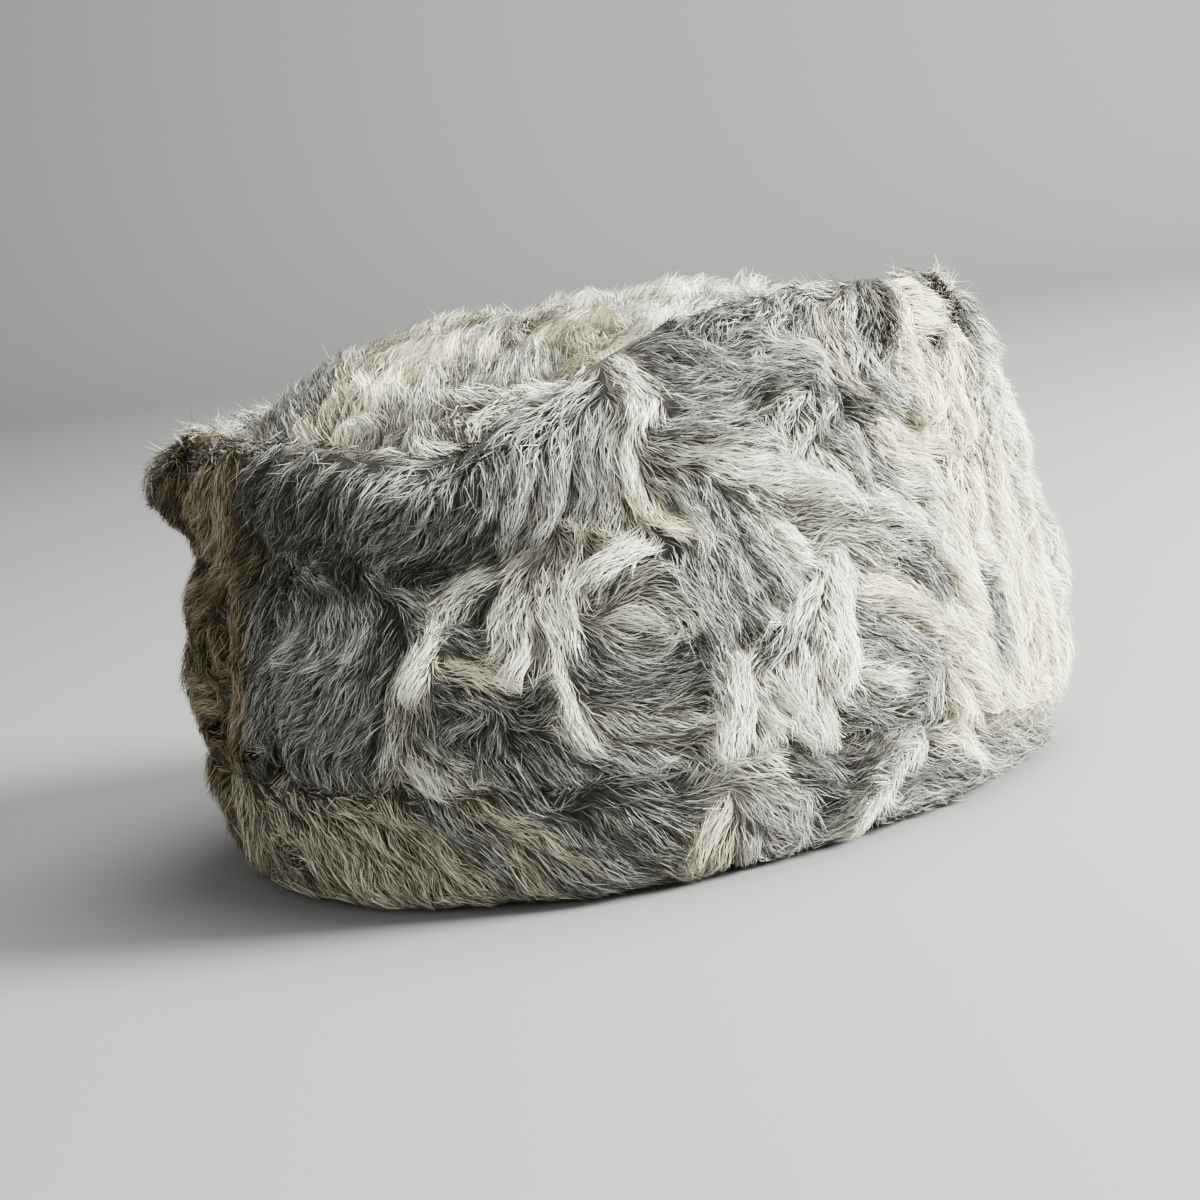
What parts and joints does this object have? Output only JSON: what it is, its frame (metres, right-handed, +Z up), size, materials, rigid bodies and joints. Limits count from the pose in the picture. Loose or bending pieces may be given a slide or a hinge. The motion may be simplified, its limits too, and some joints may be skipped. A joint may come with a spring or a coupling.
{
  "type": "karakul lambskin hat",
  "caption": "Tall oval lambskin hat: curly grey fur side wall with a rolled top edge, a domed fur crown and a narrow fur rim band.",
  "frame": {"origin": "bottom centre of the bounding box, in the plane of the rim that the hat rests on", "axes": "+Z up through the crown, +Y towards the back of the hat, where the side wall's seam is; the wearer's right is -X"},
  "size_m": [0.2158, 0.2534, 0.1386],
  "materials": {
    "side_fur": "curly grey and cream lamb fur, matt",
    "band_fur": "darker grey lamb fur, lying along the rim, matt",
    "crown_fur": "pale cream and grey lamb fur in larger locks, matt"
  },
  "bodies": {
    "root": {"side_wall": "side_fur", "rim_band": "band_fur", "crown_tip": "crown_fur"}
  },
  "joints": []
}
